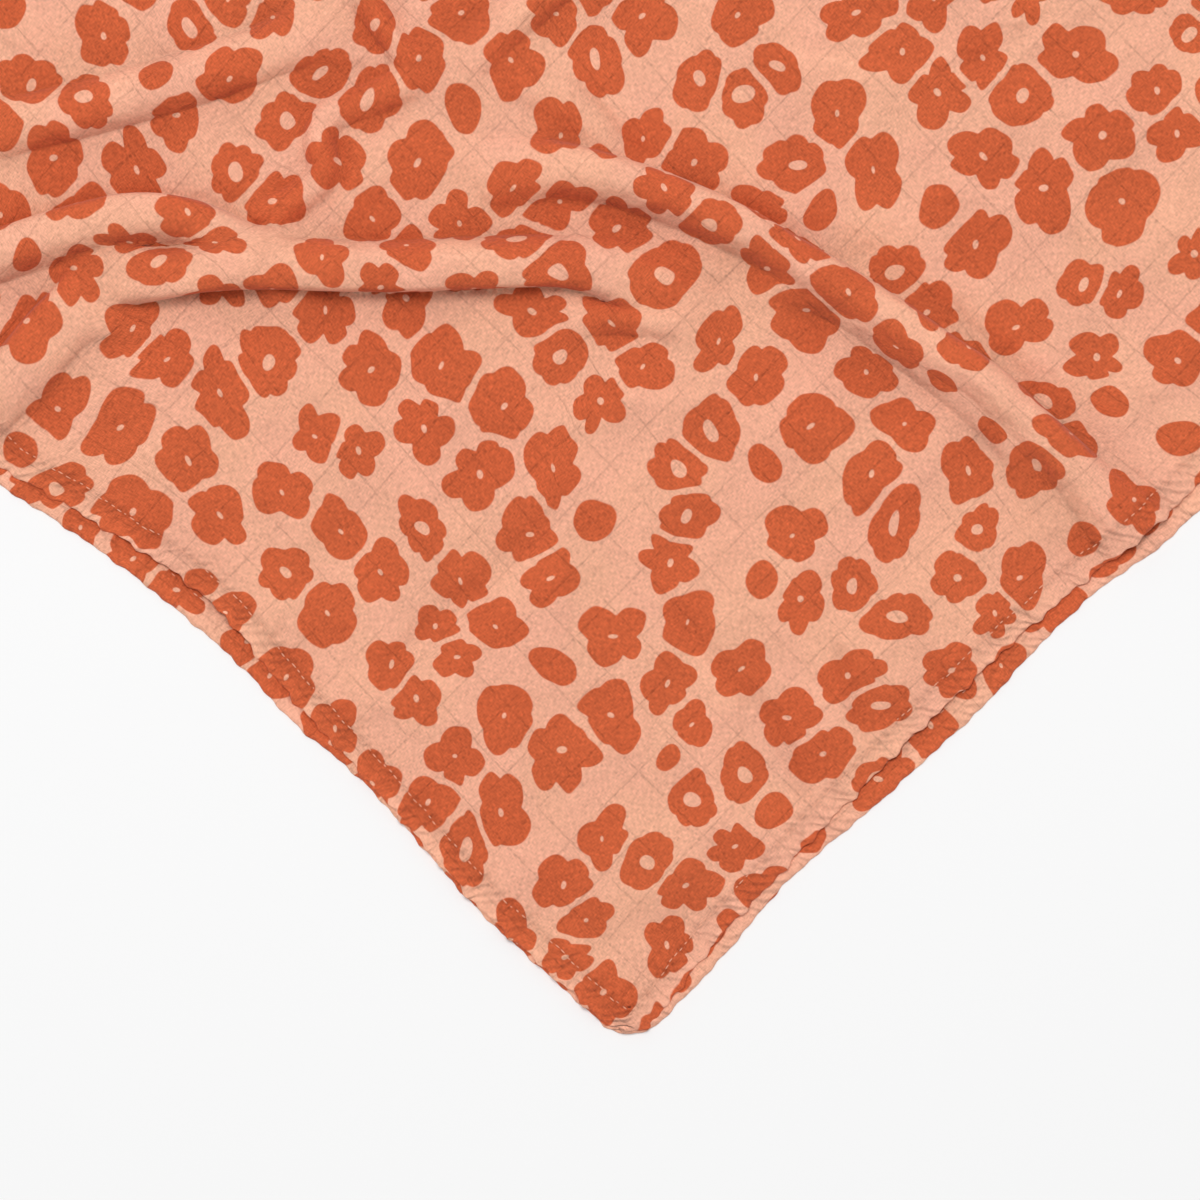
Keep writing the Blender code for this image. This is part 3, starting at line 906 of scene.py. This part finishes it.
def sheetPoints():
    # all of them, the most needed first, and how many lie on the rim
    clear = meshSteps["clear"]
    points = rimPoints()
    rimCount = len(points)
    addClear(points, hemPoints(True), clear["hem"])
    addClear(points, hemPoints(False), clear["hem"])
    addClear(points, bendPoints(), clear["bend"])
    for shown, kind in ((True, "foldShown"), (False, "fold")):
        for fold in folds:
            addClear(points, foldPoints(fold, shown), clear[kind])
    for crease in creases:
        addClear(points, creasePoints(crease), clear["crease"])
    addClear(points, openPoints(meshSteps["openShown"], True, True), clear["openShown"])
    addClear(points, openPoints(meshSteps["open"], True, False), clear["open"])
    addClear(points, openPoints(meshSteps["underOpen"], False), clear["underOpen"])
    return points, rimCount


def sheetNormals(placed, faces):
    # at each point the mean way out of its faces, larger faces counting for more
    first, second, third = (placed[faces[:, corner]] for corner in range(3))
    facing = np.cross(second - first, third - first)
    normals = np.zeros_like(placed)
    for corner in range(3):
        np.add.at(normals, faces[:, corner], facing)
    return normals / np.linalg.norm(normals, axis=1)[:, None]


def outerEdges(faces):
    # the edges that only one face uses, each in that face's own direction
    edges = np.vstack([faces[:, [0, 1]], faces[:, [1, 2]], faces[:, [2, 0]]])
    known = set(map(tuple, edges))
    return np.array([edge for edge in map(tuple, edges) if edge[::-1] not in known])


def makeBlanket():
    # the laid sheet as one closed mesh: a skin on each side of its middle surface, and walls along its rim
    points, rimCount = sheetPoints()
    rim = [(i, (i + 1) % rimCount) for i in range(rimCount)]
    insideRim = 1  # the kind of result that keeps only the triangles inside the rim
    flatPoints = [Vector(point) for point in points]
    cut, _, faces, *_ = delaunay_2d_cdt(flatPoints, rim, [], insideRim, meshSteps["sameWithin"])
    cut = np.array([tuple(point) for point in cut])
    faces = np.array(faces)
    placed, flat, thick, under, standing = foldedSheet(cut[:, 0], cut[:, 1])
    normals = sheetNormals(placed, faces)
    normals[under] = (0.0, 0.0, -1.0)
    half = normals * thick[:, None] / 2
    count = len(placed)
    rims = outerEdges(faces)
    walls = np.column_stack([rims[:, 1], rims[:, 0], rims[:, 0] + count, rims[:, 1] + count])
    allFaces = faces.tolist() + (faces[:, ::-1] + count).tolist() + walls.tolist()

    mesh = bpy.data.meshes.new("blanket_cloth")
    mesh.from_pydata(np.vstack([placed + half, placed - half]).tolist(), [], allFaces)
    corners = np.zeros(len(mesh.loops), np.int32)
    mesh.loops.foreach_get("vertex_index", corners)
    flat = np.vstack([flat, flat])
    spread = np.stack([flat[:, 0] + blanket["printMargin"], flat[:, 1] + blanket["printSpan"] / 2], axis=-1)
    layer = mesh.uv_layers.new(name="flat cloth")
    layer.data.foreach_set("uv", (spread / blanket["printSpan"])[corners].astype(np.float32).ravel())
    fromSide, fromFront = fromHems(cut[:, 0], bendStart - (np.abs(cut[:, 1]) - bendHalf))
    # relief places the painted shade and highlight of the folds in the cloth's colour
    for name, values in (("fromSide", fromSide), ("fromFront", fromFront), ("relief", standing)):
        attribute = mesh.attributes.new(name, "FLOAT", "POINT")
        attribute.data.foreach_set("value", np.concatenate([values, values]).astype(np.float32))
    mesh.shade_smooth()
    made = bpy.data.objects.new("blanket_cloth", mesh)
    bpy.context.scene.collection.objects.link(made)
    print("blanket:", 2 * len(faces) + 2 * len(walls), "triangles")
    return made


# The printed muslin

muslin = {
    "ground": (0.840, 0.418, 0.272, 1.0),
    "groundPink": (0.830, 0.400, 0.272, 1.0),
    "print": (0.600, 0.118, 0.042, 1.0),
    "printDeep": (0.575, 0.108, 0.038, 1.0),
    "patchLength": 0.045,  # of the slow changes of both colours, and where in the noise they come and go
    "patchDetail": 3.0,
    "patchFade": (0.3, 0.7),
    "flowerPitch": 0.0268,  # from one flower's middle to the next, on average
    "scatter": 0.48,  # how far the flowers stray from even rows
    "wander": 0.010,  # how far the rows themselves stray, and over what length
    "wanderLength": 0.075,
    # Down to edgeSoftness, the flowers' own lengths are shares of the pitch
    "reach": (0.450, 0.140),  # of the smallest flower, and how much more at most
    "crowding": 1.28,  # how far a flower reaches, as a share of half the way to its neighbour
    "gap": 0.042,  # half of the ground left between two flowers
    "meeting": 0.140,  # how softly a flower gives way to its neighbours
    "petals": (4.0, 1.99),  # the fewest, and how many more at most
    "ringPetals": 2.0,  # how many more a ring has
    "notchDepth": (0.21, 0.24),  # of the cuts between petals: the least, and how much more at most
    "notchSoftness": 0.020,  # rounds the bottom of the cuts
    "fullness": 1.25,  # of the petals: 1 is slender
    "petalDrift": 0.24,  # how unlike the petals of one flower are
    "longness": 0.085,  # how far a flower is drawn out to an oval
    "buds": 0.10,  # how many of the flowers are buds
    "rings": 0.20,  # and how many are rings, with a wide eye
    "budReach": 0.55,  # how far a bud and a ring reach, as a share of a flower's reach
    "ringReach": 0.90,
    "ringNotches": 0.45,  # how deep a ring's cuts are, as a share of a flower's
    "eye": 0.050,  # radius of the pale spot in a flower's middle, and in a ring's
    "wideEye": 0.120,
    "eyeSizes": (0.8, 0.5),  # times that: the least, and how much more at most
    "eyeOval": 0.45,  # how far the spot is pressed to an oval
    # What a cell's random draws are multiplied by, so that each use of one comes out unlike the others
    "phases": {"drift": 30.0, "petals": 50.0, "notch": 20.0, "long": 40.0, "eye": 20.0},
    "edgeSoftness": 0.012,
    "sway": 0.0016,  # how far outlines stray, and over what length
    "swayLength": 0.0140,
    "panePitch": 0.0190,  # of the lines where the two plies are woven together
    "paneWidth": 0.0007,
    "paneShade": 0.175,  # how much deeper the colour is there
    "paneFading": 0.0120,  # the length over which the lines fade in and out, and where in the noise
    "paneFade": (0.20, 0.60),
    "paneDepth": 0.00012,
    "threadLong": 0.0022,  # the grain of the weave
    "threadWide": 0.00036,
    "threadShade": 0.68,
    "threadsInPrint": 0.35,  # how much more the threads show where the cloth is printed
    "threadDepth": 0.00007,
    "crinkleLength": 0.0240,  # small unevenness between the folds
    "crinkleDetail": 3.0,
    "crinkleDepth": 0.00480,
    # painted shade and highlight that follow the crinkles: paler on their rises, deeper in their dips
    "paintedCrinkleShade": 0.20,
    "paintedSeamShade": 0.15,  # painted shade in the trough along the stitches, and its width
    "seamWidth": 0.0030,
    "seamUneven": 0.5,  # how much it comes and goes with the gathers
    "gatherLength": 0.0046,  # from one small gather of the hem to the next
    "gatherSlant": 0.75,  # how much they lean
    "gatherDrift": 0.0110,  # the length over which they are unlike, and how far they stray
    "gatherStray": 9.0,
    "gatherFade": (0.25, 0.65),  # where in the noise they come and go
    "gatherReach": 0.0060,  # how far they run in past the stitches
    "gatherDepth": 0.00028,
    # painted highlight on the gathers' rises and painted shade in their dips, beside their bump
    "paintedGatherShade": 0.028,
    "paintedCrestHighlight": 0.05,  # painted highlight: how much paler the colour is made on a fold's crest
    "paintedHollowShade": 0.17,  # painted shade: how much deeper the colour is made in the hollows between folds
    "rimShade": 0.16,  # how much paler the free edges are, where the light comes through
    "rimReach": 0.0080,
    "roughness": 0.92,
    "gloss": 0.15,  # how strongly the surface mirrors
    "sheen": 0.08,
}


def flowerPrint(finish, flat):
    # 1 on the print and 0 on the ground: a flower, ring or bud in each cell of a scattered layout
    place = flat
    phases = muslin["phases"]
    for how in ("wander", "sway"):
        drift = finish.noise(flat, 1.0 / muslin[how + "Length"], 1.0, "Color")
        drift = drift.vector("SUBTRACT", (0.5,) * 3)
        place = place.vector("ADD", drift.scaled(2.0 * muslin[how]))
    place = place.scaled(1.0 / muslin["flowerPitch"])

    def cells(feature, output):
        settings = {"voronoi_dimensions": "2D", "feature": feature}
        inputs = {"Vector": place, "Scale": 1.0, "Randomness": muslin["scatter"]}
        return finish.node("ShaderNodeTexVoronoi", settings, inputs, output)

    middle = cells("F1", "Position")
    kind, turn, size = middle.other("Color").parts()
    x, y, _ = place.vector("SUBTRACT", middle).parts()
    radius = (x * x + y * y).maths("SQRT")
    angle = y.maths("ARCTAN2", x)
    isBud = size.maths("LESS_THAN", muslin["buds"])
    isRing = size.maths("GREATER_THAN", 1.0 - muslin["rings"])

    fewest, more = muslin["petals"]
    petals = (kind * more + fewest).maths("FLOOR") + muslin["ringPetals"] * isRing
    drifted = angle + (angle + turn * phases["drift"]).maths("SINE") * muslin["petalDrift"]
    swing = (drifted * petals * 0.5 + turn * phases["petals"]).maths("COSINE")
    lobe = (swing * swing + muslin["notchSoftness"]).maths("SQRT")
    notch = (1.0 - lobe).maths("MAXIMUM", 0.0).maths("POWER", muslin["fullness"])
    shallow, deeper = muslin["notchDepth"]
    notch = notch * (shallow + deeper * (size * phases["notch"]).maths("FRACT"))
    notch = notch * (1.0 - isBud) * (1.0 - (1.0 - muslin["ringNotches"]) * isRing)
    longer = (angle * 2.0 + kind * phases["long"]).maths("SINE") * muslin["longness"]
    least, spread = muslin["reach"]
    reach = cells("N_SPHERE_RADIUS", "Radius") * muslin["crowding"]
    reach = reach.maths("MINIMUM", least + spread * turn)
    reach = reach * (1.0 - (1.0 - muslin["budReach"]) * isBud)
    reach = reach * (1.0 - (1.0 - muslin["ringReach"]) * isRing)
    flower = reach * (1.0 - notch + longer) - radius
    room = cells("DISTANCE_TO_EDGE", "Distance") - muslin["gap"]

    tilted = (angle + turn * phases["eye"]).maths("COSINE")
    eyeSize = muslin["eye"] + (muslin["wideEye"] - muslin["eye"]) * isRing
    small, larger = muslin["eyeSizes"]
    eyeSize = eyeSize * (small + larger * kind) * (1.0 - isBud)
    eye = radius * (1.0 + muslin["eyeOval"] * tilted * tilted) - eyeSize
    field = flower.maths("SMOOTH_MIN", room, muslin["meeting"]).maths("MINIMUM", eye)
    return finish.ease(field, -muslin["edgeSoftness"], muslin["edgeSoftness"])


def paneLines(finish, flat):
    # 1 on the lines, in both directions, where the two plies are woven together
    found = 0.0
    for along in flat.parts()[:2]:
        phase = (along * (1.0 / muslin["panePitch"])).maths("FRACT")
        away = (phase - 0.5).maths("ABSOLUTE") * muslin["panePitch"]
        found = (1.0 - finish.ease(away, 0.0, muslin["paneWidth"])).maths("MAXIMUM", found)
    fading = finish.noise(flat, 1.0 / muslin["paneFading"], 1.0)
    return found * finish.ease(fading, *muslin["paneFade"])


def hemDetail(finish, flat):
    # 1 on the line of stitches, where painted shade goes, the small gathers that run across it, with their
    # painted shade and highlight, and 1 on the free edge
    x, y, _ = flat.parts()
    gathers = 0.0
    away = []
    for name, along in (("fromSide", y), ("fromFront", x)):
        distance = finish.node("ShaderNodeAttribute", {"attribute_name": name}, {}, "Fac")
        where = {0: along * (1.0 / muslin["gatherDrift"]), 1: distance * (1.0 / muslin["gatherDrift"])}
        drift = finish.noise(finish.node("ShaderNodeCombineXYZ", {}, where), 1.0, 1.0)
        slanted = along + distance * muslin["gatherSlant"]
        rows = (slanted * (math.tau / muslin["gatherLength"]) + drift * muslin["gatherStray"]).maths("SINE")
        inside = finish.ease(distance, blanket["hemWidth"], blanket["hemWidth"] + muslin["gatherReach"])
        gathers = rows * finish.ease(drift, *muslin["gatherFade"]) * (1.0 - inside) + gathers
        away.append(distance)
    nearest = away[0].maths("MINIMUM", away[1])
    fromSeam = (nearest - blanket["hemWidth"]).maths("ABSOLUTE")
    seam = 1.0 - finish.ease(fromSeam, 0.0, muslin["seamWidth"])
    seam = seam * (1.0 - muslin["seamUneven"] * gathers)
    return seam, gathers, 1.0 - finish.ease(nearest, 0.0, muslin["rimReach"])


def makeMuslin():
    # the cloth's colour with its painted shade and highlights, and its finest relief, all on the flat UV map
    finish = Finish("printed muslin")
    square = finish.node("ShaderNodeUVMap", {"uv_map": "flat cloth"}, {}, "UV")
    flat = square.vector("MULTIPLY", (blanket["printSpan"],) * 3)
    longStep, wideStep = 1.0 / muslin["threadLong"], 1.0 / muslin["threadWide"]
    weft = finish.noise(flat.vector("MULTIPLY", (longStep, wideStep, 0.0)), 1.0)
    warp = finish.noise(flat.vector("MULTIPLY", (wideStep, longStep, 0.0)), 1.0)
    threads = weft + warp - 1.0
    patches = finish.noise(flat, 1.0 / muslin["patchLength"], muslin["patchDetail"])
    crinkles = finish.noise(flat, 1.0 / muslin["crinkleLength"], muslin["crinkleDetail"])
    panes = paneLines(finish, flat)
    seam, gathers, rim = hemDetail(finish, flat)
    # painted shade in the hollows between folds and a painted highlight on their crests, as the fold relief
    # says
    standing = finish.node("ShaderNodeAttribute", {"attribute_name": "relief"}, {}, "Fac")
    crestHighlight = standing.maths("MAXIMUM", 0.0) * muslin["paintedCrestHighlight"]
    hollowShadow = standing.maths("MINIMUM", 0.0) * muslin["paintedHollowShade"]

    printed = flowerPrint(finish, flat)
    share = finish.ease(patches, *muslin["patchFade"])
    ground = finish.mix(share, muslin["ground"], muslin["groundPink"])
    ink = finish.mix(share, muslin["print"], muslin["printDeep"])
    woven = threads * muslin["threadShade"] * (1.0 + printed * muslin["threadsInPrint"])
    # the weave and the pane lines are the cloth's own; the seam, crinkle and gather terms and the crests and
    # hollows are painted shade and highlight, and the rim is painted paleness where light comes through
    shade = 1.0 + woven - panes * muslin["paneShade"] - seam * muslin["paintedSeamShade"]
    shade = shade + (crinkles - 0.5) * muslin["paintedCrinkleShade"] + crestHighlight + hollowShadow
    shade = shade + rim * muslin["rimShade"] + gathers * muslin["paintedGatherShade"]
    colour = finish.mix(printed, ground, ink).scaled(shade)
    height = threads * muslin["threadDepth"] + crinkles * muslin["crinkleDepth"]
    height = height - panes * muslin["paneDepth"] + gathers * muslin["gatherDepth"]
    finish.dress({
        "Base Color": colour,
        "Normal": finish.node("ShaderNodeBump", {}, {"Strength": 1.0, "Distance": 1.0, "Height": height}),
        "Roughness": muslin["roughness"],
        "Sheen Weight": muslin["sheen"],
        "Specular IOR Level": muslin["gloss"],
    })
    return finish.material


# The stitches along the hems

stitching = {
    "pitch": 0.0030,
    "length": 0.0023,
    "width": 0.00050,
    "unevenness": 0.25,
    "seed": 3,
    "sides": 6,  # of the ball that each stitch is drawn out from
    "rings": 4,
    "stray": 0.0006,  # of the line of stitches, sideways, and the lengths of its waves in mm
    "strayLengths": (11, 19, 43),
    "backEnd": 0.004,  # how near the back fold the line ends
    "proud": 0.00002,  # how far a stitch's middle stands off the cloth
    "colour": (0.860, 0.450, 0.305, 1.0),
    "roughness": 0.75,
    "gloss": 0.2,
}


def stitchPlaces(upper):
    # where the stitches of one layer lie, the way each runs, and the way out of the cloth
    band, pitch = blanket["hemWidth"], stitching["pitch"]
    low, high, front = lowX + band, highX - band, frontY + band
    across = np.arange(low, high, pitch)
    back = np.arange(front + pitch, bendStart - stitching["backEnd"], pitch)
    strayAcross, strayBack = (
        stitching["stray"] * waver(line, stitching["seed"], stitching["strayLengths"])
        for line in (across, back)
    )
    u = np.concatenate([across, low + strayBack, high + strayBack])
    v = np.concatenate([front + strayAcross, back, back])
    along = np.zeros((u.size, 2))
    along[: across.size, 0] = pitch / 2
    along[across.size:, 1] = pitch / 2

    def places(moveU, moveV):
        placed, _, thick, *_ = foldedSheet(u + moveU, toSheet(v + moveV, upper))
        return placed, thick

    here, thick = places(0.0, 0.0)
    run = places(along[:, 0], along[:, 1])[0] - here
    beside = places(-along[:, 1], along[:, 0])[0] - here
    out = np.cross(run, beside)
    out /= np.linalg.norm(out, axis=1)[:, None]
    return here + out * (thick / 2 + stitching["proud"])[:, None], run, out


def stitchTree():
    # a geometry tree that sets one stitch on each point of a mesh, and its inputs by name
    tree = bpy.data.node_groups.new("stitches", "GeometryNodeTree")
    tree.interface.new_socket("Geometry", in_out="INPUT", socket_type="NodeSocketGeometry")
    kinds = {"Length": "Float", "Width": "Float", "Unevenness": "Float", "Seed": "Int", "Thread": "Material"}
    inputs = {
        name: tree.interface.new_socket(name, in_out="INPUT", socket_type="NodeSocket" + kind).identifier
        for name, kind in kinds.items()
    }
    tree.interface.new_socket("Geometry", in_out="OUTPUT", socket_type="NodeSocketGeometry")

    def node(kind, settings, feeds):
        made = tree.nodes.new(kind)
        for name, value in settings.items():
            setattr(made, name, value)
        for name, value in feeds.items():
            if isinstance(value, bpy.types.NodeSocket):
                tree.links.new(value, made.inputs[name])
            else:
                made.inputs[name].default_value = value
        return made.outputs

    given = node("NodeGroupInput", {}, {})
    run, out = (
        node("GeometryNodeInputNamedAttribute", {"data_type": "FLOAT_VECTOR"}, {"Name": name})["Attribute"]
        for name in ("run", "out")
    )
    turned = node("FunctionNodeAxesToRotation", {"primary_axis": "Z", "secondary_axis": "X"},
                  {"Primary Axis": run, "Secondary Axis": out})
    least = node("ShaderNodeMath", {"operation": "SUBTRACT"}, {0: 1.0, 1: given["Unevenness"]})
    most = node("ShaderNodeMath", {"operation": "ADD"}, {0: 1.0, 1: given["Unevenness"]})
    span = {2: least[0], 3: most[0], 8: given["Seed"]}
    uneven = node("FunctionNodeRandomValue", {"data_type": "FLOAT"}, span)
    length = node("ShaderNodeMath", {"operation": "MULTIPLY"}, {0: given["Length"], 1: uneven[1]})
    size = node("ShaderNodeCombineXYZ", {}, {0: given["Width"], 1: given["Width"], 2: length[0]})
    unitBall = {"Segments": stitching["sides"], "Rings": stitching["rings"], "Radius": 0.5}
    shape = node("GeometryNodeMeshUVSphere", {}, unitBall)
    placed = node("GeometryNodeInstanceOnPoints", {}, {
        "Points": given["Geometry"], "Instance": shape["Mesh"], "Rotation": turned[0], "Scale": size[0]})
    made = node("GeometryNodeRealizeInstances", {}, {"Geometry": placed[0]})
    made = node("GeometryNodeSetMaterial", {}, {"Geometry": made[0], "Material": given["Thread"]})
    node("NodeGroupOutput", {}, {"Geometry": made[0]})
    return tree, inputs


def makeThread():
    finish = Finish("thread")
    where = finish.node("ShaderNodeTexCoord", {}, {}, "Object")
    worn = finish.noise(where, 1.0 / stitching["length"], 1.0)
    finish.dress({
        "Base Color": finish.mix(worn, stitching["colour"], muslin["ground"]),
        "Roughness": stitching["roughness"],
        "Specular IOR Level": stitching["gloss"],
    })
    return finish.material


def makeStitches():
    # the stitches of both layers in one object, kept as the plain mesh that the tree makes
    places, runs, outs = (np.vstack(both) for both in zip(stitchPlaces(True), stitchPlaces(False)))
    points = bpy.data.meshes.new("stitch points")
    points.from_pydata(places.tolist(), [], [])
    for name, values in (("run", runs), ("out", outs)):
        attribute = points.attributes.new(name, "FLOAT_VECTOR", "POINT")
        attribute.data.foreach_set("vector", values.astype(np.float32).ravel())
    made = bpy.data.objects.new("hem_stitches", points)
    bpy.context.scene.collection.objects.link(made)
    tree, inputs = stitchTree()
    modifier = made.modifiers.new("stitches", "NODES")
    modifier.node_group = tree
    for name in ("length", "width", "unevenness", "seed"):
        modifier[inputs[name.capitalize()]] = stitching[name]
    modifier[inputs["Thread"]] = makeThread()
    graph = bpy.context.evaluated_depsgraph_get()
    mesh = bpy.data.meshes.new_from_object(made.evaluated_get(graph), depsgraph=graph)
    made.modifiers.remove(modifier)
    made.data = mesh
    mesh.shade_smooth()
    print("stitches:", len(places), "of", len(mesh.polygons) // len(places), "faces")
    return made


# Build

makeCamera()
makeStudio()
print("camera, light and floor placed")
cloth = makeBlanket()
cloth.data.materials.append(makeMuslin())
print("muslin printed")
stitches = makeStitches()
for piece in (cloth, stitches):
    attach(piece, "root")
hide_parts("blanket")
